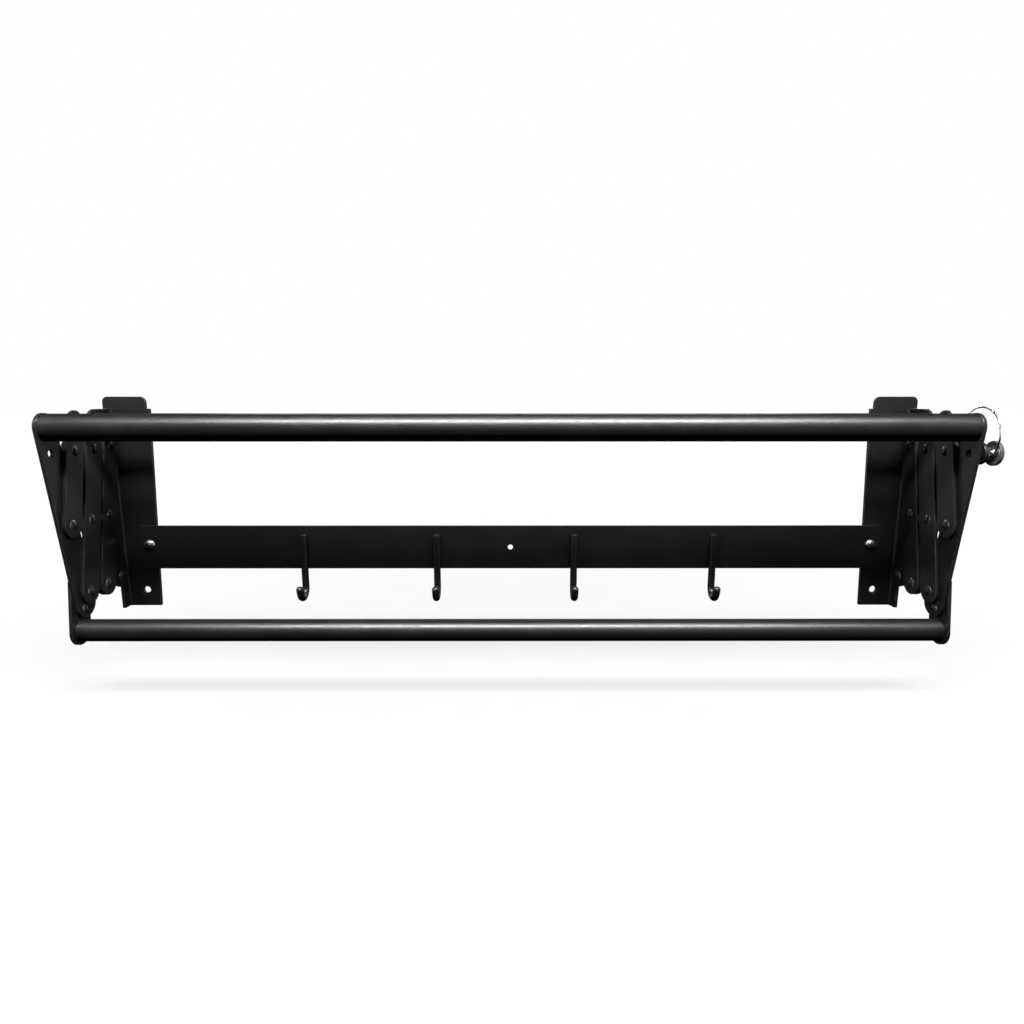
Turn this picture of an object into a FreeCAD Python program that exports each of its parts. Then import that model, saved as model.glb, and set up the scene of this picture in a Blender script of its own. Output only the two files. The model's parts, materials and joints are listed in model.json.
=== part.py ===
import FreeCAD, Part
import math
import os

# Wall-mounted folding drying rack. Two lazy-tongs side frames carry a front bar, a lower bar and
# two drying rods, and a strip with four coat hooks ties the two wall brackets together.
# Frame: millimetres, +X to the viewer's right, +Z up, the wall is the plane Y = 0 and the rack
# folds out towards -Y. The origin is the centre of the four wall screw holes.
# Every side part is built on the +X side and mirrored to the other side.

V = FreeCAD.Vector

# Lazy tongs: every crossing pair of links shares these heights and this folded half pitch.
pivot_top_z = 62.2
pivot_mid_z = 1.6
pivot_low_z = -59.0
half_pitch = 12.4
rear_pivot_y = -18.4
opening_deg = 48.0

# Layers of one side frame, measured outwards from the centre plane.
inner_link_x = 362.5
outer_link_x = 365.5
link_thick = 2.5
side_plate_thick = 3.0
flange_x = 369.5
sheet_thick = 3.0
link_half_width = 10.5
tip_length = 26.0
tip_radius = 8.0

# Rivets, washers and running gaps.
rivet_r = 2.5
rivet_head_r = 4.6
rivet_head_h = 1.4
tail_head_r = 4.0
tail_head_h = 0.8
small_rivet_r = 2.0
small_head_r = 3.6
small_head_h = 1.0
axial_gap = 0.15
running_gap = 0.08
loose_gap = 0.3
washer_r = 6.0
washer_thick = 0.35
slide_pin_r = 3.0
slide_head_r = 5.0
slot_gap = 0.2
cut_margin = 1.0

# Bars and rods.
front_bar_y, front_bar_z, front_bar_r = -94.5, 82.7, 11.0
lower_bar_y, lower_bar_z, lower_bar_r = -77.5, -91.0, 9.5
tube_wall = 1.5
plug_length = 16.0
rod_r = 5.0
rod_stud_r = 2.5
bar_screw_r = 3.0
bar_screw_head_r = 5.5
bar_screw_head_h = 2.4

# Front side plate, which carries both bars, and the bracket of the lower bar.
plate_top_r = 11.5
plate_foot_y, plate_foot_z, plate_foot_r = -71.5, -68.5, 12.0
lower_bracket_thick = 2.5
lower_bracket_half = 12.5
lower_bracket_top_z = -46.0
lower_bracket_lean = 5.6
bracket_rivet_y, bracket_rivet_z = -73.8, -72.8
lock_hole_y = rear_pivot_y - 6 * half_pitch
lock_pin_r = 3.0

# Wall bracket.
bracket_inner_x = 340.0
bracket_top_inner_x = 333.5
bracket_bottom_z = -93.1
flange_top_z = 96.0
tab_top_z = 107.0
tab_inner_x, tab_outer_x = 337.0, 376.5
tab_corner_r = 5.0
bend_inner_r = 2.0
flange_depth = 27.0
foot_depth = 11.5
foot_top_z = -68.0
wall_hole_x, wall_hole_z = 352.5, 77.5
wall_hole_r = 3.25
wall_hole_dimple_r = 5.2
wall_hole_dimple = 0.8
stop_rivet_y, stop_rivet_z = -9.0, 0.0

# Back strip, its screws and the coat hooks.
strip_half_length = 352.0
strip_thick = 2.0
strip_top_z, strip_bottom_z = -13.9, -55.7
strip_hole_r = 2.5
strip_screw_x, strip_screw_z = 344.5, -32.5
strip_screw_r = 2.1
strip_screw_head_r = 5.4
strip_screw_head_h = 3.4
strip_slot_run = 4.0
hook_places = {"coat_hook_1": -196.5, "coat_hook_2": -70.0,
               "coat_hook_3": 60.5, "coat_hook_4": 193.0}
hook_wire_r = 3.25
hook_top_z = -22.1
hook_bend_z = -72.5
hook_bend_r = 8.5
hook_bend_deg = 160.0
hook_tip_length = 5.0

# Lock arm, lock pin and its ring, on the +X side only.
arm_thick = 3.0
arm_rear_y, arm_rear_z, arm_rear_r = -13.0, 82.5, 8.5
arm_front_r = 9.0
arm_rivet_places = ((-8.5, 84.5), (-18.5, 81.5))
pin_tip_x = 369.2
knob_x = 384.0
knob_thick = 3.2
knob_r = 10.0
knob_edge = 0.8
collar_r = 4.5
collar_length = 1.4
ring_x = 381.3
ring_r = 22.8
ring_wire_r = 1.1
ring_offset = 18.5
ring_lean_deg = 42.0


def end_y(station):
    """Depth of the end pivots, counted from the wall."""
    return rear_pivot_y - 2 * half_pitch * station


def cross_y(station):
    """Depth of the crossing pivots, counted from the wall."""
    return end_y(station) - half_pitch


def rod_along_x(y, z, radius, x_low, x_high):
    return Part.makeCylinder(radius, x_high - x_low, V(x_low, y, z), V(1, 0, 0))


def headed_pin(base, axis, head_r, head_h, steps):
    """A domed head whose flat underside is at base, then cylinders of (length, radius) along axis."""
    ball_r = (head_r**2 + head_h**2) / (2 * head_h)
    half_way = math.asin(head_r / ball_r) / 2
    outwards = V(0, 0, 1)

    def point(along, radius):
        return base + axis * along + outwards * radius

    crown, rim = point(-head_h, 0), point(0, head_r)
    middle = point(ball_r - head_h - ball_r * math.cos(half_way), ball_r * math.sin(half_way))
    corners, reached = [rim], 0.0
    for length, radius in steps:
        corners += [point(reached, radius), point(reached + length, radius)]
        reached += length
    corners.append(point(reached, 0))
    edges = [Part.Arc(crown, middle, rim).toShape()]
    edges += [Part.LineSegment(start, end).toShape() for start, end in zip(corners, corners[1:])]
    edges.append(Part.LineSegment(corners[-1], crown).toShape())
    return Part.Face(Part.Wire(edges)).revolve(base, axis, 360)


def strap(first, first_r, second, second_r, x_low, thick):
    """A flat bar with round ends: the outline around two circles in the YZ plane."""
    dy, dz = second[0] - first[0], second[1] - first[1]
    length = math.hypot(dy, dz)
    along = math.atan2(dz, dy)
    spread = math.acos((first_r - second_r) / length)

    def point(centre, radius, angle):
        return V(x_low, centre[0] + radius * math.cos(angle), centre[1] + radius * math.sin(angle))

    left, right = along + spread, along - spread
    edges = [
        Part.LineSegment(point(first, first_r, left), point(second, second_r, left)).toShape(),
        Part.Arc(point(second, second_r, left), point(second, second_r, along),
                 point(second, second_r, right)).toShape(),
        Part.LineSegment(point(second, second_r, right), point(first, first_r, right)).toShape(),
        Part.Arc(point(first, first_r, right), point(first, first_r, along + math.pi),
                 point(first, first_r, left)).toShape(),
    ]
    return Part.Face(Part.Wire(edges)).extrude(V(thick, 0, 0))


def plate_of(corners, thickness):
    """A flat plate with straight edges between its corners."""
    return Part.Face(Part.makePolygon(corners + corners[:1])).extrude(thickness)


def drilled(shape, holes, x_low, x_high):
    for y, z, radius in holes:
        shape = shape.cut(rod_along_x(y, z, radius, x_low - cut_margin, x_high + cut_margin))
    return shape


def link(first, second, x_low, holes):
    body = strap(first, link_half_width, second, link_half_width, x_low, link_thick)
    return drilled(body, holes, x_low, x_low + link_thick)


def bore_along_y(x, z, radius, front_y, depth):
    """A cylinder that starts at front_y and runs towards the wall."""
    return Part.makeCylinder(radius, depth, V(x, front_y, z), V(0, 1, 0))


def tip_of(station):
    """Centre of the drying rod, on the line of an inner link beyond its top pivot."""
    lean = math.atan2(half_pitch, pivot_top_z - pivot_mid_z)
    return (end_y(station) + tip_length * math.sin(lean), pivot_top_z + tip_length * math.cos(lean))


def tipped_link(foot, station, holes):
    """An inner link whose upper end runs on past its top pivot to hold a drying rod."""
    top, tip = (end_y(station), pivot_top_z), tip_of(station)
    lower = strap(foot, link_half_width, top, link_half_width, inner_link_x, link_thick)
    upper = strap(top, link_half_width, tip, tip_radius, inner_link_x, link_thick)
    body = lower.fuse(upper).removeSplitter()
    all_holes = holes + [(*tip, rod_stud_r + running_gap)]
    return drilled(body, all_holes, inner_link_x, inner_link_x + link_thick)


def link_rivet(y, z, outer_face):
    """A rivet fixed in an inner link, with its tail head just clear of the outer part."""
    length = outer_face + axial_gap - inner_link_x
    return headed_pin(V(inner_link_x, y, z), V(1, 0, 0), rivet_head_r, rivet_head_h,
                      [(length, rivet_r), (tail_head_h, tail_head_r)])


def washer(y, z, bore_r, radius, x_low, thick):
    disc = rod_along_x(y, z, radius, x_low, x_low + thick)
    return drilled(disc, [(y, z, bore_r)], x_low, x_low + thick)


def link_washers(places):
    x_low = inner_link_x + link_thick
    return [washer(y, z, rivet_r, washer_r, x_low, washer_thick) for y, z in places]


def tongs_parts():
    """The links of one side frame with their rivets and washers, on the +X side."""
    link_face = outer_link_x + link_thick
    plate_face = outer_link_x + side_plate_thick
    fit, loose = rivet_r + running_gap, rivet_r + loose_gap
    top = [(end_y(n), pivot_top_z) for n in range(4)]
    low = [(end_y(n), pivot_low_z) for n in range(3)]
    mid = [(cross_y(n), pivot_mid_z) for n in range(3)]
    parts = {}
    parts["rear_inner_link"] = link(top[0], low[1], inner_link_x, [
        (*top[0], fit), (*mid[0], rivet_r), (*low[1], rivet_r)])
    parts["rear_inner_rivets"] = [link_rivet(*mid[0], link_face), link_rivet(*low[1], link_face)]
    parts["rear_inner_washers"] = link_washers([mid[0], low[1]])

    parts["rear_outer_link"] = link(low[0], top[1], outer_link_x, [
        (*low[0], slide_pin_r), (*mid[0], fit), (*top[1], loose)])
    parts["middle_outer_link"] = link(low[1], top[2], outer_link_x, [
        (*low[1], fit), (*mid[1], fit), (*top[2], fit)])

    parts["middle_inner_link"] = tipped_link(low[2], 1, [
        (*top[1], rivet_r), (*mid[1], rivet_r), (*low[2], rivet_r)])
    parts["middle_inner_rivets"] = [
        link_rivet(*top[1], link_face), link_rivet(*mid[1], link_face), link_rivet(*low[2], plate_face)]
    parts["middle_inner_washers"] = link_washers([top[1], mid[1], low[2]])

    parts["front_inner_link"] = tipped_link(mid[2], 2, [
        (*top[2], rivet_r), (*mid[2], rivet_r)])
    parts["front_inner_rivets"] = [link_rivet(*top[2], link_face), link_rivet(*mid[2], plate_face)]
    parts["front_inner_washers"] = link_washers([top[2], mid[2]])
    return parts


def slide_parts():
    """The pin that runs in the wall bracket's slot, with its spacer washer."""
    y, z = end_y(0), pivot_low_z
    link_face = outer_link_x + link_thick
    flange_face = flange_x + sheet_thick
    pin = headed_pin(V(outer_link_x, y, z), V(1, 0, 0), rivet_head_r, rivet_head_h,
                     [(flange_face + axial_gap - outer_link_x, slide_pin_r), (rivet_head_h, slide_head_r)])
    spacer = washer(y, z, slide_pin_r, slide_head_r, link_face, flange_x - link_face - axial_gap)
    return {"slide_pin": pin, "slide_washer": spacer}


def is_upper_corner(edge):
    """True for an edge at the tab's top that runs from the wall to its face."""
    at_top = all(abs(vertex.Z - tab_top_z) < loose_gap for vertex in edge.Vertexes)
    start, end = (vertex.Point for vertex in edge.Vertexes)
    return at_top and abs(start.y - end.y) > abs(start.x - end.x)


def wall_bracket():
    """Bent sheet bracket: wall leaf, side flange with the guide slot, and a wide top tab."""
    outer_x = flange_x + sheet_thick
    bend_outer_r = bend_inner_r + sheet_thick
    middle = math.sqrt(0.5)

    def arc(radius):
        centre_x, centre_y = flange_x - bend_inner_r, -sheet_thick - bend_inner_r
        return [V(centre_x, centre_y + radius, bracket_bottom_z),
                V(centre_x + radius * middle, centre_y + radius * middle, bracket_bottom_z),
                V(centre_x + radius, centre_y, bracket_bottom_z)]

    outside, inside = arc(bend_outer_r), arc(bend_inner_r)
    corners = [V(bracket_top_inner_x, 0, bracket_bottom_z),
               V(bracket_top_inner_x, -sheet_thick, bracket_bottom_z),
               V(outer_x, -flange_depth, bracket_bottom_z), V(flange_x, -flange_depth, bracket_bottom_z)]
    edges = [
        Part.LineSegment(corners[0], outside[0]).toShape(),
        Part.Arc(*outside).toShape(),
        Part.LineSegment(outside[2], corners[2]).toShape(),
        Part.LineSegment(corners[2], corners[3]).toShape(),
        Part.LineSegment(corners[3], inside[2]).toShape(),
        Part.Arc(inside[2], inside[1], inside[0]).toShape(),
        Part.LineSegment(inside[0], corners[1]).toShape(),
        Part.LineSegment(corners[1], corners[0]).toShape(),
    ]
    body = Part.Face(Part.Wire(edges)).extrude(V(0, 0, flange_top_z - bracket_bottom_z))

    taper = plate_of([
        V(bracket_top_inner_x, 0, bracket_bottom_z), V(bracket_inner_x, 0, bracket_bottom_z),
        V(bracket_top_inner_x, 0, flange_top_z)], V(0, -sheet_thick, 0))
    body = body.cut(taper)

    foot_height = foot_top_z - bracket_bottom_z
    trim = Part.makeBox(4 * sheet_thick, flange_depth - foot_depth, foot_height,
                        V(flange_x - sheet_thick, -flange_depth, bracket_bottom_z))
    body = body.cut(trim)

    tab = Part.makeBox(tab_outer_x - tab_inner_x, sheet_thick, tab_top_z - flange_top_z,
                       V(tab_inner_x, -sheet_thick, flange_top_z))
    upper_corners = [edge for edge in tab.Edges if is_upper_corner(edge)]
    body = body.fuse(tab.makeFillet(tab_corner_r, upper_corners)).removeSplitter()

    slot_r = slide_pin_r + slot_gap
    reach = 2 * math.hypot(half_pitch, pivot_top_z - pivot_mid_z)
    lean = math.atan2(half_pitch, pivot_top_z - pivot_mid_z) + math.radians(opening_deg)
    slot_top_z = pivot_top_z - reach * math.cos(lean)
    slot = strap((rear_pivot_y, pivot_low_z), slot_r, (rear_pivot_y, slot_top_z), slot_r,
                 flange_x - cut_margin, sheet_thick + 2 * cut_margin)
    body = body.cut(slot)
    holes = [(end_y(0), pivot_top_z, rivet_r), (stop_rivet_y, stop_rivet_z, small_rivet_r)]
    body = drilled(body, holes, flange_x, outer_x)

    start_y = -2 * sheet_thick
    for z in (-wall_hole_z, wall_hole_z):
        body = body.cut(bore_along_y(wall_hole_x, z, wall_hole_r, start_y, 3 * sheet_thick))
        dimple_depth = sheet_thick + wall_hole_dimple
        body = body.cut(bore_along_y(wall_hole_x, z, wall_hole_dimple_r, start_y, dimple_depth))
    return body.cut(bore_along_y(strip_screw_x, strip_screw_z, strip_screw_r, start_y, 3 * sheet_thick))


def fixed_pivot_parts():
    """The rivet that hangs the rear inner link on the flange, its bush, and the slot's stop rivet."""
    y, z = end_y(0), pivot_top_z
    flange_face = flange_x + sheet_thick
    head_x = inner_link_x - axial_gap
    rivet = headed_pin(V(head_x, y, z), V(1, 0, 0), rivet_head_r, rivet_head_h,
                       [(flange_face - head_x, rivet_r), (tail_head_h, tail_head_r)])
    bush_x = inner_link_x + link_thick + axial_gap
    bush = washer(y, z, rivet_r, washer_r, bush_x, flange_x - bush_x)
    stop = headed_pin(V(flange_x, stop_rivet_y, stop_rivet_z), V(1, 0, 0), small_head_r, small_head_h,
                      [(sheet_thick, small_rivet_r)])
    return {"top_pivot_rivet": rivet, "top_pivot_bush": bush, "slot_stop_rivet": stop}


def front_parts():
    """One side plate of the front frame with the lower bar's bracket."""
    foot = (plate_foot_y, plate_foot_z)
    plate = strap((front_bar_y, front_bar_z), plate_top_r, foot, plate_foot_r,
                  outer_link_x, side_plate_thick)
    plate_face = outer_link_x + side_plate_thick
    plate = drilled(plate, [
        (cross_y(2), pivot_mid_z, rivet_r + loose_gap), (end_y(2), pivot_low_z, rivet_r + running_gap),
        (lock_hole_y, pivot_top_z, lock_pin_r + loose_gap / 2), (bracket_rivet_y, bracket_rivet_z, rivet_r),
        (front_bar_y, front_bar_z, bar_screw_r)], outer_link_x, plate_face)

    front_y, rear_y = lower_bar_y - lower_bracket_half, lower_bar_y + lower_bracket_half
    leaf = plate_of([
        V(plate_face, front_y, lower_bar_z), V(plate_face, rear_y, lower_bar_z),
        V(plate_face, rear_y + lower_bracket_lean, lower_bracket_top_z),
        V(plate_face, front_y + lower_bracket_lean, lower_bracket_top_z)], V(lower_bracket_thick, 0, 0))
    round_end = rod_along_x(lower_bar_y, lower_bar_z, lower_bracket_half,
                            plate_face, plate_face + lower_bracket_thick)
    bracket = drilled(leaf.fuse(round_end).removeSplitter(), [
        (end_y(2), pivot_low_z, tail_head_r + cut_margin), (bracket_rivet_y, bracket_rivet_z, rivet_r),
        (lower_bar_y, lower_bar_z, bar_screw_r)], plate_face, plate_face + lower_bracket_thick)
    return {"front_side_plate": plate, "lower_bar_bracket": bracket}


def bracket_rivet():
    """Fixes the lower bar's bracket to the side plate."""
    base = V(outer_link_x, bracket_rivet_y, bracket_rivet_z)
    return headed_pin(base, V(1, 0, 0), tail_head_r, rivet_head_h,
                      [(side_plate_thick + lower_bracket_thick, rivet_r), (tail_head_h, tail_head_r)])


def tube(y, z, radius, half_length):
    outer = rod_along_x(y, z, radius, -half_length, half_length)
    return outer.cut(rod_along_x(y, z, radius - tube_wall, -half_length, half_length))


def bar_plug(y, z, radius, face_x):
    body = rod_along_x(y, z, radius - tube_wall, face_x - plug_length, face_x)
    return drilled(body, [(y, z, bar_screw_r)], face_x - plug_length, face_x)


def bar_screw(y, z, face_x, plate_x):
    """A button-head screw through the plate into the bar's end plug."""
    return headed_pin(V(plate_x, y, z), V(-1, 0, 0), bar_screw_head_r, bar_screw_head_h,
                      [(plate_x - face_x + plug_length, bar_screw_r)])


def drying_rod(station):
    """A solid rod between the two side frames, with a stud at each end for its cap nut."""
    y, z = tip_of(station)
    rod = rod_along_x(y, z, rod_r, -inner_link_x + axial_gap, inner_link_x - axial_gap)
    stud_end = inner_link_x + link_thick + axial_gap
    return rod.fuse(rod_along_x(y, z, rod_stud_r, -stud_end, stud_end))


def rod_nut(station):
    y, z = tip_of(station)
    base = inner_link_x + link_thick + axial_gap
    return headed_pin(V(base, y, z), V(-1, 0, 0), tail_head_r, link_thick, [])


def back_strip():
    """The flat strip between the brackets, with a slotted screw hole at each end."""
    front = -sheet_thick - strip_thick
    body = Part.makeBox(2 * strip_half_length, strip_thick, strip_top_z - strip_bottom_z,
                        V(-strip_half_length, front, strip_bottom_z))
    middle_z = (strip_top_z + strip_bottom_z) / 2
    start_y, depth = front - strip_thick, 3 * strip_thick
    body = body.cut(bore_along_y(0, middle_z, strip_hole_r, start_y, depth))
    for side in (-1, 1):
        outer_x, inner_x = side * strip_screw_x, side * (strip_screw_x - strip_slot_run)
        for x in (outer_x, inner_x):
            body = body.cut(bore_along_y(x, strip_screw_z, strip_screw_r, start_y, depth))
        body = body.cut(Part.makeBox(strip_slot_run, depth, 2 * strip_screw_r,
                                     V(min(outer_x, inner_x), start_y, strip_screw_z - strip_screw_r)))
    return body


def strip_screw():
    """A domed screw through the strip into the wall bracket."""
    front = -sheet_thick - strip_thick
    return headed_pin(V(strip_screw_x, front, strip_screw_z), V(0, 1, 0), strip_screw_head_r,
                      strip_screw_head_h, [(-front, strip_screw_r)])


def coat_hook(x):
    """A J of round wire that stands on the strip's face and curls up at the front."""
    wire_y = -sheet_thick - strip_thick - hook_wire_r
    centre = V(x, wire_y - hook_bend_r, hook_bend_z)
    stem = Part.makeCylinder(hook_wire_r, hook_top_z - hook_bend_z, V(x, wire_y, hook_bend_z))
    section = Part.Face(Part.Wire(Part.makeCircle(hook_wire_r, V(x, wire_y, hook_bend_z), V(0, 0, 1))))
    bend = section.revolve(centre, V(1, 0, 0), -hook_bend_deg)
    turn = math.radians(hook_bend_deg)
    tip_base = centre + V(0, math.cos(turn), -math.sin(turn)) * hook_bend_r
    tip_way = V(0, -math.sin(turn), -math.cos(turn))
    tip = Part.makeCylinder(hook_wire_r, hook_tip_length, tip_base, tip_way)
    ball = Part.makeSphere(hook_wire_r, tip_base + tip_way * hook_tip_length)
    return stem.fuse(bend).fuse(tip).fuse(ball).removeSplitter()


def lock_parts():
    """The arm on the +X bracket, and the pin with its knob and ring that locks the rack shut."""
    arm_x = flange_x + sheet_thick
    front = (lock_hole_y, pivot_top_z)
    arm = strap((arm_rear_y, arm_rear_z), arm_rear_r, front, arm_front_r, arm_x, arm_thick)
    holes = [(*front, lock_pin_r + running_gap)] + [(*place, small_rivet_r) for place in arm_rivet_places]
    arm = drilled(arm, holes, arm_x, arm_x + arm_thick)
    rivets = [
        headed_pin(V(arm_x + arm_thick, *place), V(-1, 0, 0), small_head_r, small_head_h,
                   [(arm_thick + sheet_thick, small_rivet_r)])
        for place in arm_rivet_places]
    shank = rod_along_x(*front, lock_pin_r, pin_tip_x, knob_x)
    collar = rod_along_x(*front, collar_r, knob_x - collar_length, knob_x)
    knob = rod_along_x(*front, knob_r, knob_x, knob_x + knob_thick)
    knob = knob.makeChamfer(knob_edge, [e for e in knob.Edges if isinstance(e.Curve, Part.Circle)])
    lean = math.radians(ring_lean_deg)
    away = V(0, math.sin(lean), math.cos(lean)) * ring_offset
    ring = Part.makeTorus(ring_r, ring_wire_r, V(ring_x, *front) + away, V(1, 0, 0))
    return {"lock_arm": arm, "lock_arm_rivets": rivets, "lock_pin": shank.fuse(collar),
            "lock_knob": knob, "lock_ring": ring}


def as_list(shape):
    return shape if isinstance(shape, list) else [shape]


def mirrored(shapes):
    return [s.mirror(V(0, 0, 0), V(1, 0, 0)) for s in as_list(shapes)]


def both_sides(shapes):
    return mirrored(shapes) + as_list(shapes)


def all_nodes():
    nodes = {}
    sided = {"wall_bracket": wall_bracket(), **tongs_parts(), **slide_parts(), **front_parts()}
    pivots = fixed_pivot_parts()
    sided["top_pivot_rivet"] = pivots["top_pivot_rivet"]
    sided["top_pivot_bush"] = pivots["top_pivot_bush"]
    for name, shapes in sided.items():
        nodes[name + "_left"] = mirrored(shapes)
        nodes[name + "_right"] = as_list(shapes)
    arm_holes = [(*place, small_rivet_r) for place in arm_rivet_places]
    nodes["wall_bracket_right"] = [drilled(wall_bracket(), arm_holes, flange_x, flange_x + sheet_thick)]
    nodes["slot_stop_rivets"] = both_sides(pivots["slot_stop_rivet"])
    nodes["bracket_rivets"] = both_sides(bracket_rivet())

    plate_inner, plate_outer = outer_link_x, outer_link_x + side_plate_thick
    bars = {
        "front_bar": (front_bar_y, front_bar_z, front_bar_r, plate_inner, plate_outer),
        "lower_bar": (lower_bar_y, lower_bar_z, lower_bar_r, plate_outer, plate_outer + lower_bracket_thick)}
    nodes["bar_end_plugs"], nodes["bar_screws"] = [], []
    for name, (y, z, radius, face_x, outer_x) in bars.items():
        nodes[name] = [tube(y, z, radius, face_x)]
        nodes["bar_end_plugs"] += both_sides(bar_plug(y, z, radius, face_x))
        nodes["bar_screws"] += both_sides(bar_screw(y, z, face_x, outer_x))
    for name, station in (("front_drying_rod", 2), ("rear_drying_rod", 1)):
        nodes[name] = [drying_rod(station)]
        nodes[name + "_nuts"] = both_sides(rod_nut(station))

    nodes["back_strip"] = [back_strip()]
    nodes["strip_screws"] = both_sides(strip_screw())
    for name, x in hook_places.items():
        nodes[name] = [coat_hook(x)]
    for name, shapes in lock_parts().items():
        nodes[name] = as_list(shapes)
    return nodes


os.makedirs("parts", exist_ok=True)
for node, shapes in all_nodes().items():
    shape = shapes[0] if len(shapes) == 1 else Part.makeCompound(shapes)
    solids = len(shape.Solids)
    if not shape.isValid() or solids != len(shapes):
        raise ValueError(f"{node} is not {len(shapes)} sound solids")
    shape.exportStep(f"parts/{node}.step")
    print(f"{node}: {solids} solids, {shape.Volume / 1000:.2f} cm3")
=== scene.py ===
import json
import math

import bmesh
import bpy
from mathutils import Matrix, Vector


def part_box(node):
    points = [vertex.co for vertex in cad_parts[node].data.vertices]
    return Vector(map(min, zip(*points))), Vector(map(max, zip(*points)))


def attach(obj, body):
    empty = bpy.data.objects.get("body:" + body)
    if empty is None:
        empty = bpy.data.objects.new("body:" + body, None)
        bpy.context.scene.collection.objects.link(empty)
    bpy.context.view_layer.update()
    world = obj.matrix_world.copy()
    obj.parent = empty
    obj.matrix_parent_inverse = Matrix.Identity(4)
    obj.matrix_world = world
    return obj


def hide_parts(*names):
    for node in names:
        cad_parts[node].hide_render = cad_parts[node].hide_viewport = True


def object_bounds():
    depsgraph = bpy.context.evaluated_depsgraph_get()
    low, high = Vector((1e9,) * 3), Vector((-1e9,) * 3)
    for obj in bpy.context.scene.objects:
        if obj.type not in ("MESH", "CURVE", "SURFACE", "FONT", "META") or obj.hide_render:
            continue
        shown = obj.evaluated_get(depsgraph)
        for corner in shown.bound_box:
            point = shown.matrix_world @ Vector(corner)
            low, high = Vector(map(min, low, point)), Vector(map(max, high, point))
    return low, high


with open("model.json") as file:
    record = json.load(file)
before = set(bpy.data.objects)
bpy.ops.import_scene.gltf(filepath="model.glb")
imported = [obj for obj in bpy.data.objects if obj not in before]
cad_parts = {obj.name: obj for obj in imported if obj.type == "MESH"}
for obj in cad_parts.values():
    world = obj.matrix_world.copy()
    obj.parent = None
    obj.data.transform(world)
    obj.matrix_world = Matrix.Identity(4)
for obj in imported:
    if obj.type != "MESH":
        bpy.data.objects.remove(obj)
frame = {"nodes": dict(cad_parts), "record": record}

# A wall-mounted folding drying rack, folded: +X right, +Z up, the wall is the plane Y = 0 and the
# rack folds out towards -Y. Lengths are metres.
CAD_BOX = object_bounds()
MM = 0.001

CAMERA_PLACE = Vector((0.0005, -0.607, 0.1055))
CAMERA_PITCH = math.radians(80.0)
CAMERA_YAW = math.radians(-0.1)
SENSOR = 36.0
LENS = 22.68
CLIP_START = 0.01

# Name, place, the point it faces, width and height, watts.
SOFTBOXES = (
    ("key", (0.03, -0.70, 1.03), (0.0, -0.09, 0.07), (1.4, 0.22), 95.0),
    ("front_fill", (0.0, -2.4, 0.9), (0.0, 0.0, 0.0), (2.2, 0.7), 6.0),
    ("left_fill", (-1.7, -0.7, 0.5), (0.0, -0.05, 0.0), (0.5, 1.2), 12.0),
    ("right_fill", (1.7, -0.7, 0.5), (0.0, -0.05, 0.0), (0.5, 1.2), 12.0),
    ("back_fill", (0.0, 1.9, 0.9), (0.0, 0.0, 0.0), (2.4, 0.8), 16.0),
    ("wall_bounce", (0.0, 0.9, 0.05), (0.0, 0.0, 0.0), (1.3, 0.8), 1.2),
)
OVERHEAD_POWER = 0.5
OVERHEAD_SPREAD = math.radians(45)
OVERHEAD_TILT = math.radians(12)

FLOOR_DROP = 0.055
FLOOR_HALF = 14.0
FLOOR_SHADE = (0.25, 1.3)  # the floor goes from darker to white between these distances

EDGE_ROUND = 0.35 * MM
SMALL_PART_SHARE = 0.4  # of EDGE_ROUND, on rivets, washers and screws
SMALL_PART_SLOTS = ("black_rivet", "black_nylon", "nickel_screw")
WELD_DISTANCE = 0.002 * MM
CREASE_ANGLE = math.radians(32)
FLAT_ANGLE = math.radians(0.5)

KNOB_NODE = "lock_knob"
KNOB_RIBS = 36
KNOB_STEPS_PER_RIB = 6
KNOB_RIB_DEPTH = 0.18 * MM
KNOB_ROLL = 0.8 * MM
KNOB_DISH = 0.5 * MM
KNOB_RIM = 3.0 * MM  # width of the raised rim around both dishes

RING_NODE = "lock_ring"
RING_STEPS = 144
RING_SIDES = 14
WIRE_SHARE = 0.62  # of the CAD ring's wire radius
COIL_START = math.radians(50)
COIL_SWEEP = math.radians(80)
COIL_TURNS = 40
COIL_STEPS_PER_TURN = 12
COIL_SIDES = 6
THREAD_SHARE = 0.19  # of the CAD ring's wire radius
THREAD_LIFT = 0.9  # the coil's centre line, in thread radii above the wire's surface

CORNER_STEPS = 6


# ---------------------------------------------------------------- materials

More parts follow.
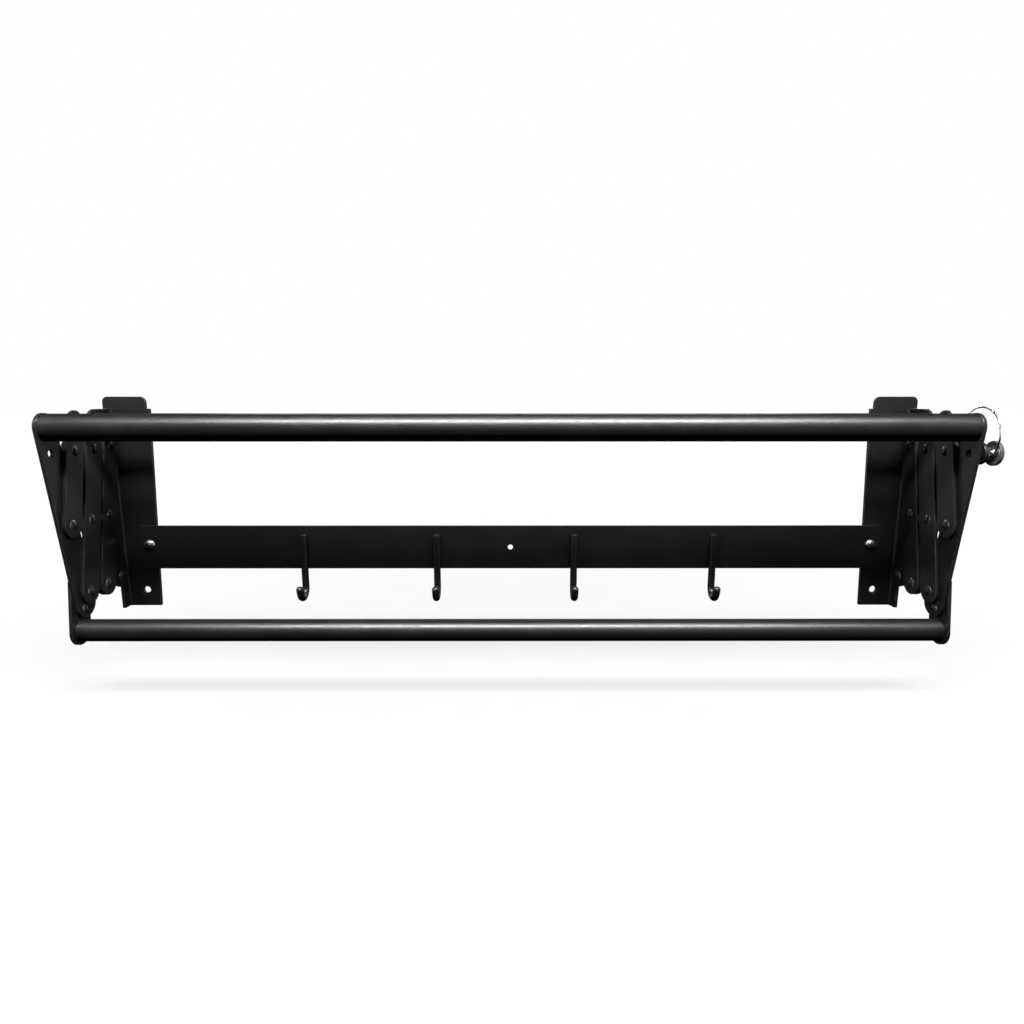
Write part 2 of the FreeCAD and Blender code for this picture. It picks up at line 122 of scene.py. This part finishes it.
class Finish:
    """A material with a Principled shader and helpers for the nodes that feed it."""

    def __init__(self, name, **constants):
        self.material = bpy.data.materials.new(name)
        self.material.use_nodes = True
        self.tree = self.material.node_tree
        self.shader = self.tree.nodes["Principled BSDF"]
        for socket, value in constants.items():
            self.shader.inputs[socket.replace("_", " ")].default_value = value
        self.place = self.add("ShaderNodeTexCoord").outputs["Object"]

    def add(self, kind, settings=None, **links):
        node = self.tree.nodes.new(kind)
        for attribute, value in (settings or {}).items():
            setattr(node, attribute, value)
        for socket, value in links.items():
            self.feed(node.inputs[socket.replace("_", " ")], value)
        return node

    def feed(self, socket, value):
        """Links a socket to another node's output, or sets it to a constant."""
        if isinstance(value, bpy.types.NodeSocket):
            self.tree.links.new(value, socket)
        else:
            socket.default_value = value

    def noise(self, scale, detail=2.0, distortion=0.0):
        node = self.add("ShaderNodeTexNoise", Vector=self.place, Scale=scale, Detail=detail,
                        Distortion=distortion)
        return node.outputs["Fac"]

    def scratches(self, scale, squeeze):
        """Fine lines, from noise squeezed along the axis where squeeze is largest."""
        stretch = self.add("ShaderNodeMapping", Vector=self.place, Scale=squeeze)
        node = self.add("ShaderNodeTexNoise", Vector=stretch.outputs["Vector"], Scale=scale, Detail=4.0)
        return node.outputs["Fac"]

    def span(self, value, low, high, from_low=0.3, from_high=0.7):
        """Maps a value from its own span onto low to high, clamped at both ends."""
        node = self.add("ShaderNodeMapRange")
        for index, number in enumerate((value, from_low, from_high, low, high)):
            self.feed(node.inputs[index], number)
        return node.outputs["Result"]

    def math(self, operation, first, second):
        """A clamped Math node."""
        node = self.add("ShaderNodeMath", {"operation": operation, "use_clamp": True})
        self.feed(node.inputs[0], first)
        self.feed(node.inputs[1], second)
        return node.outputs["Value"]

    def blend(self, factor, first, second):
        """Mixes two colours. The Mix node's colour sockets are inputs 6 and 7 and output 2."""
        node = self.add("ShaderNodeMix", {"data_type": "RGBA"})
        self.feed(node.inputs["Factor"], factor)
        self.feed(node.inputs[6], first)
        self.feed(node.inputs[7], second)
        return node.outputs[2]

    def edges(self, radius):
        """1 at edges and corners, 0 on flat faces."""
        rounded = self.add("ShaderNodeBevel", {"samples": 4}, Radius=radius).outputs["Normal"]
        flat = self.add("ShaderNodeNewGeometry").outputs["Normal"]
        dot = self.add("ShaderNodeVectorMath", {"operation": "DOT_PRODUCT"})
        self.feed(dot.inputs[0], rounded)
        self.feed(dot.inputs[1], flat)
        return self.span(dot.outputs["Value"], 1.0, 0.0, from_low=0.86, from_high=0.995)

    def bump(self, height, depth, strength, below=None):
        node = self.add("ShaderNodeBump", Height=height, Distance=depth, Strength=strength)
        if below is not None:
            self.feed(node.inputs["Normal"], below)
        return node.outputs["Normal"]

    def show(self, colour, roughness, normal):
        self.feed(self.shader.inputs["Base Color"], colour)
        self.feed(self.shader.inputs["Roughness"], roughness)
        self.feed(self.shader.inputs["Normal"], normal)
        return self.material


def grey(level, warmth=0.0):
    return (level * (1 + warmth), level, level * (1 - warmth), 1.0)


PAINT_DARK = (0.0020, 0.0019, 0.0024, 1.0)
PAINT_PALE = (0.0030, 0.0029, 0.0036, 1.0)
PAINT_SPECKLE = (0.0085, 0.0085, 0.0095, 1.0)
PAINT_RUBBED = grey(0.040, 0.03)
STEEL_RUBBED = grey(0.11, 0.05)
WHITE = grey(1.0)


def powder_coat():
    """Satin black: orange peel, fine grain, faint handling marks and paler rubbed edges."""
    coat = Finish("black_powder_coat_finish", Metallic=0.0, Specular_IOR_Level=0.42, IOR=1.5)
    cloud = coat.noise(7.0, 3.0)
    marks = coat.noise(42.0, 5.0, 0.6)
    peel = coat.noise(900.0, 2.0)
    grain = coat.noise(3600.0, 2.0)
    rubbed = coat.span(coat.noise(160.0, 4.0), 0.15, 1.0, from_low=0.42, from_high=0.6)
    wear = coat.math("MULTIPLY", coat.edges(0.7 * MM), rubbed)
    base = coat.blend(coat.span(cloud, 0.0, 1.0), PAINT_DARK, PAINT_PALE)
    speckles = coat.span(grain, 0.0, 0.5, from_low=0.5, from_high=0.75)
    colour = coat.blend(wear, coat.blend(speckles, base, PAINT_SPECKLE), PAINT_RUBBED)
    rough = coat.span(marks, 0.33, 0.40, from_low=0.30, from_high=0.72)
    rough = coat.math("ADD", rough, coat.span(grain, -0.04, 0.06))
    rough = coat.math("SUBTRACT", rough, coat.math("MULTIPLY", wear, 0.08))
    normal = coat.bump(grain, 0.03 * MM, 0.35, coat.bump(peel, 0.10 * MM, 0.30))
    return coat.show(colour, rough, normal)


def gloss_rivet():
    """Smooth black steel, with the paint rubbed thin on the crowns and rims."""
    steel = Finish("black_rivet_finish", Metallic=0.0, Specular_IOR_Level=0.65, IOR=1.5)
    rubbed = steel.span(steel.noise(420.0, 4.0), 0.0, 1.0, from_low=0.4, from_high=0.6)
    wear = steel.math("MULTIPLY", steel.edges(0.5 * MM), rubbed)
    fine = steel.noise(2600.0, 3.0)
    base = steel.blend(steel.span(steel.noise(300.0, 4.0), 0.0, 1.0), grey(0.006), grey(0.012))
    colour = steel.blend(wear, base, STEEL_RUBBED)
    rough = steel.span(fine, 0.17, 0.30)
    return steel.show(colour, rough, steel.bump(fine, 0.03 * MM, 0.3))


def nylon():
    """Dull black plastic with a fine moulded grain."""
    plastic = Finish("black_nylon_finish", Metallic=0.0, Specular_IOR_Level=0.4, IOR=1.53)
    grain = plastic.noise(2400.0, 3.0)
    colour = plastic.blend(plastic.span(grain, 0.0, 1.0), grey(0.012), grey(0.022))
    rough = plastic.span(plastic.noise(120.0, 3.0), 0.48, 0.62)
    return plastic.show(colour, rough, plastic.bump(grain, 0.04 * MM, 0.5))


def nickel():
    """Warm satin nickel with faint level lines and darker tarnish."""
    metal = Finish("nickel_screw_finish", Metallic=1.0)
    tarnish = metal.noise(520.0, 5.0, 0.5)
    lines = metal.scratches(1500.0, (1.0, 1.0, 6.0))
    colour = metal.blend(metal.span(tarnish, 0.0, 1.0), grey(0.10, 0.12), grey(0.30, 0.10))
    rough = metal.span(lines, 0.24, 0.40)
    return metal.show(colour, rough, metal.bump(lines, 0.02 * MM, 0.35))


def chrome():
    """Bright plated wire with fine scratches and a little grime."""
    metal = Finish("chrome_finish", Metallic=1.0)
    grime = metal.span(metal.noise(380.0, 4.0, 0.4), 0.0, 1.0, from_low=0.25, from_high=0.55)
    lines = metal.scratches(2200.0, (5.0, 1.0, 1.0))
    colour = metal.blend(grime, grey(0.42, 0.03), grey(0.83, -0.01))
    rough = metal.span(lines, 0.07, 0.20)
    return metal.show(colour, rough, metal.bump(lines, 0.01 * MM, 0.3))


def moulded_knob():
    """Dark grey plastic, finely grained, with a polished worn rim."""
    plastic = Finish("black_knob_finish", Metallic=0.0, Specular_IOR_Level=0.5, IOR=1.5)
    grain = plastic.noise(1900.0, 3.0)
    wear = plastic.edges(0.8 * MM)
    base = plastic.blend(plastic.span(plastic.noise(90.0, 3.0), 0.0, 1.0), grey(0.020), grey(0.034))
    colour = plastic.blend(plastic.math("MULTIPLY", wear, 0.6), base, grey(0.10))
    polish = plastic.math("MULTIPLY", wear, 0.12)
    rough = plastic.math("SUBTRACT", plastic.span(grain, 0.36, 0.50), polish)
    return plastic.show(colour, rough, plastic.bump(grain, 0.05 * MM, 0.4))


def all_finishes():
    """Each of the record's material slots with its finish."""
    return {
        "black_powder_coat": powder_coat(),
        "black_rivet": gloss_rivet(),
        "black_nylon": nylon(),
        "nickel_screw": nickel(),
        "chrome": chrome(),
        "black_knob": moulded_knob(),
    }


# ---------------------------------------------------------------- pieces

def placed(name, data):
    """A new object in the scene."""
    thing = bpy.data.objects.new(name, data)
    bpy.context.scene.collection.objects.link(thing)
    return thing


def put_on(thing, material):
    thing.data.materials.clear()
    thing.data.materials.append(material)
    for face in thing.data.polygons:
        face.material_index = 0


def round_edges(node, width):
    """Breaks the sharp edges of a CAD node with modifiers; its own mesh stays as it is."""
    weld = node.modifiers.new("weld", "WELD")
    weld.merge_threshold = WELD_DISTANCE
    flats = node.modifiers.new("flats", "DECIMATE")
    flats.decimate_type = "DISSOLVE"
    flats.angle_limit = FLAT_ANGLE
    bevel = node.modifiers.new("edge", "BEVEL")
    bevel.width = width
    bevel.segments = 2
    bevel.limit_method = "ANGLE"
    bevel.angle_limit = CREASE_ANGLE
    bevel.use_clamp_overlap = True
    bevel.harden_normals = False
    normals = node.modifiers.new("normals", "WEIGHTED_NORMAL")
    normals.keep_sharp = False
    normals.weight = 100


def dress_cad_nodes(finishes):
    for row in frame["record"]["subparts"]:
        node = frame["nodes"][row["node"]]
        put_on(node, finishes[row["material_slot"]])
        small = row["material_slot"] in SMALL_PART_SLOTS
        round_edges(node, EDGE_ROUND * (SMALL_PART_SHARE if small else 1.0))


def new_piece(name, mesh_builder, body, slot_name, finishes, replaced=()):
    """Makes a mesh piece from bmesh code, gives it its finish and lets it ride on a CAD body."""
    mesh = bpy.data.meshes.new(name)
    work = bmesh.new()
    mesh_builder(work)
    bmesh.ops.recalc_face_normals(work, faces=work.faces)
    for face in work.faces:
        face.smooth = True
    work.to_mesh(mesh)
    work.free()
    piece = placed(name, mesh)
    put_on(piece, finishes[slot_name])
    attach(piece, body)
    if replaced:
        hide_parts(*replaced)


def full_turn(steps):
    return [2 * math.pi * index / steps for index in range(steps)]


def join_rings(work, rings, closed_ends=True):
    """Skins a list of vertex rings of equal length with quads."""
    for first, second in zip(rings, rings[1:]):
        count = len(first)
        for index in range(count):
            following = (index + 1) % count
            work.faces.new((first[index], first[following], second[following], second[index]))
    if closed_ends:
        work.faces.new(rings[0])
        work.faces.new(list(reversed(rings[-1])))


def turned(work, start, profile, reach_at, steps):
    """A body turned about an axis along X. profile is a list of (distance along the axis, radius)."""
    rings = []
    for along, radius in profile:
        reaches = [(reach_at(along, radius, angle), angle) for angle in full_turn(steps)]
        rings.append([work.verts.new((start.x + along,
                                      start.y + reach * math.cos(angle),
                                      start.z + reach * math.sin(angle))) for reach, angle in reaches])
    join_rings(work, rings)


def quarter_turn(along, radius, bend, start, end):
    """Profile points of a rounded corner; angles are measured from the outward radius."""
    points = []
    for index in range(CORNER_STEPS + 1):
        angle = start + (end - start) * index / CORNER_STEPS
        points.append((along - bend * math.sin(angle), radius + bend * math.cos(angle)))
    return points


def middle_of(node):
    """Centre and half sizes of a CAD node's box."""
    low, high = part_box(node)
    return (low + high) / 2, (high - low) / 2


def knob(finishes):
    """The lock pin's knob: a dished face, a rolled rim and a fine grip around its edge."""
    centre, half = middle_of(KNOB_NODE)
    thick, radius = 2 * half.x, half.y
    start = Vector((centre.x - half.x, centre.y, centre.z))
    dish, roll = KNOB_DISH, KNOB_ROLL

    back = [(dish * 0.6, radius * 0.47), (dish, radius * 0.55), (dish, radius - KNOB_RIM),
            (0.1 * MM, radius - 1.9 * MM)]
    back += quarter_turn(roll, radius - roll, roll, math.pi / 2, 0)
    edge = [(thick * share, radius) for share in (0.35, 0.5, 0.65)]
    front = quarter_turn(thick - roll, radius - roll, roll, 0, -math.pi / 2)
    front += [(thick - 0.15 * MM, radius - 2.0 * MM), (thick - dish, radius - KNOB_RIM),
              (thick - dish, radius * 0.35), (thick - dish * 0.6, radius * 0.18)]

    def gripped(along, reach, angle):
        on_edge = roll * 0.9 < along < thick - roll * 0.9
        return reach - (KNOB_RIB_DEPTH * (0.5 + 0.5 * math.cos(KNOB_RIBS * angle)) if on_edge else 0.0)

    def build(work):
        turned(work, start, back + edge + front, gripped, KNOB_RIBS * KNOB_STEPS_PER_RIB)

    new_piece("lock_knob_moulding", build, "lock_pin", "black_knob", finishes, [KNOB_NODE])


def tube_along(work, points, radius, sides, closed):
    """A round wire through the points."""
    rings = []
    count = len(points)
    for index, point in enumerate(points):
        before = points[index - 1] if index or closed else point
        after = points[(index + 1) % count] if index + 1 < count or closed else point
        tangent = (after - before).normalized()
        across = tangent.cross(Vector((1, 0, 0))).normalized()
        upward = across.cross(tangent)
        rings.append([work.verts.new(point + radius * (math.cos(turn) * across + math.sin(turn) * upward))
                      for turn in full_turn(sides)])
    join_rings(work, rings + rings[:1] if closed else rings, closed_ends=not closed)


def ring(finishes):
    """The chrome ring on the lock pin, with a fine spring wound over part of it."""
    centre, half = middle_of(RING_NODE)
    cad_wire = half.x
    wire, thread = cad_wire * WIRE_SHARE, cad_wire * THREAD_SHARE
    radius = half.y - cad_wire
    loop = [centre + radius * Vector((0, math.cos(turn), math.sin(turn))) for turn in full_turn(RING_STEPS)]
    new_piece("lock_ring_wire", lambda work: tube_along(work, loop, wire, RING_SIDES, True),
              "lock_ring", "chrome", finishes, [RING_NODE])

    coil = []
    coil_steps = COIL_TURNS * COIL_STEPS_PER_TURN
    reach = wire + thread * THREAD_LIFT
    for index in range(coil_steps + 1):
        share = index / coil_steps
        around = COIL_START + COIL_SWEEP * share
        twist = 2 * math.pi * COIL_TURNS * share
        outward = Vector((0, math.cos(around), math.sin(around)))
        coil.append(centre + outward * (radius + reach * math.cos(twist))
                    + Vector((reach * math.sin(twist), 0, 0)))
    new_piece("lock_ring_spring", lambda work: tube_along(work, coil, thread, COIL_SIDES, False),
              "lock_ring", "chrome", finishes)


def all_pieces(finishes):
    dress_cad_nodes(finishes)
    knob(finishes)
    ring(finishes)


# ---------------------------------------------------------------- camera, light and floor

def camera():
    data = bpy.data.cameras.new("camera")
    data.sensor_width = SENSOR
    data.lens = LENS
    data.clip_start = CLIP_START
    thing = placed("camera", data)
    thing.location = CAMERA_PLACE
    thing.rotation_euler = (CAMERA_PITCH, 0.0, CAMERA_YAW)
    bpy.context.scene.camera = thing


def softbox(name, place, target, size, power):
    data = bpy.data.lights.new(name, "AREA")
    data.shape = "RECTANGLE"
    data.size, data.size_y = size
    data.energy = power
    thing = placed(name, data)
    thing.location = place
    thing.rotation_euler = (Vector(target) - Vector(place)).to_track_quat("-Z", "Y").to_euler()
    thing.visible_camera = False


def lights():
    for row in SOFTBOXES:
        softbox(*row)
    data = bpy.data.lights.new("overhead", "SUN")
    data.energy = OVERHEAD_POWER
    data.angle = OVERHEAD_SPREAD
    placed("overhead", data).rotation_euler = (OVERHEAD_TILT, 0.0, 0.0)


def floor_paper():
    """White paper that glows by itself, a little darker near the rack, and takes faint shadows."""
    paper = Finish("floor_paper", Specular_IOR_Level=0.0, Emission_Strength=1.0)
    distance = paper.add("ShaderNodeVectorMath", {"operation": "LENGTH"})
    paper.feed(distance.inputs[0], paper.place)
    near, far = FLOOR_SHADE
    away = paper.span(distance.outputs["Value"], 0.0, 1.0, near, far)
    paper.feed(paper.shader.inputs["Emission Color"], paper.blend(away, grey(0.80), WHITE))
    fibre = paper.noise(30.0, 4.0)
    colour = paper.blend(paper.span(fibre, 0.0, 1.0), grey(0.042), grey(0.048))
    return paper.show(colour, paper.span(fibre, 0.85, 0.95), paper.bump(fibre, 0.1 * MM, 0.05))


def surroundings():
    """A white world and a pale floor, which only the camera sees: neither lights the black paint."""
    world = bpy.data.worlds.new("studio")
    world.use_nodes = True
    background = world.node_tree.nodes["Background"]
    background.inputs["Color"].default_value = WHITE
    background.inputs["Strength"].default_value = 1.0
    bpy.context.scene.world = world
    world.cycles_visibility.diffuse = False
    world.cycles_visibility.glossy = False

    level = CAD_BOX[0].z - FLOOR_DROP
    mesh = bpy.data.meshes.new("floor")
    corners = [(x * FLOOR_HALF, y * FLOOR_HALF, level) for x, y in ((-1, -1), (1, -1), (1, 1), (-1, 1))]
    mesh.from_pydata(corners, [], [(0, 1, 2, 3)])
    floor = placed("floor", mesh)
    put_on(floor, floor_paper())
    floor.visible_glossy = False
    floor.visible_diffuse = False
    bpy.context.scene.view_settings.view_transform = "Standard"


camera()
lights()
surroundings()
all_pieces(all_finishes())
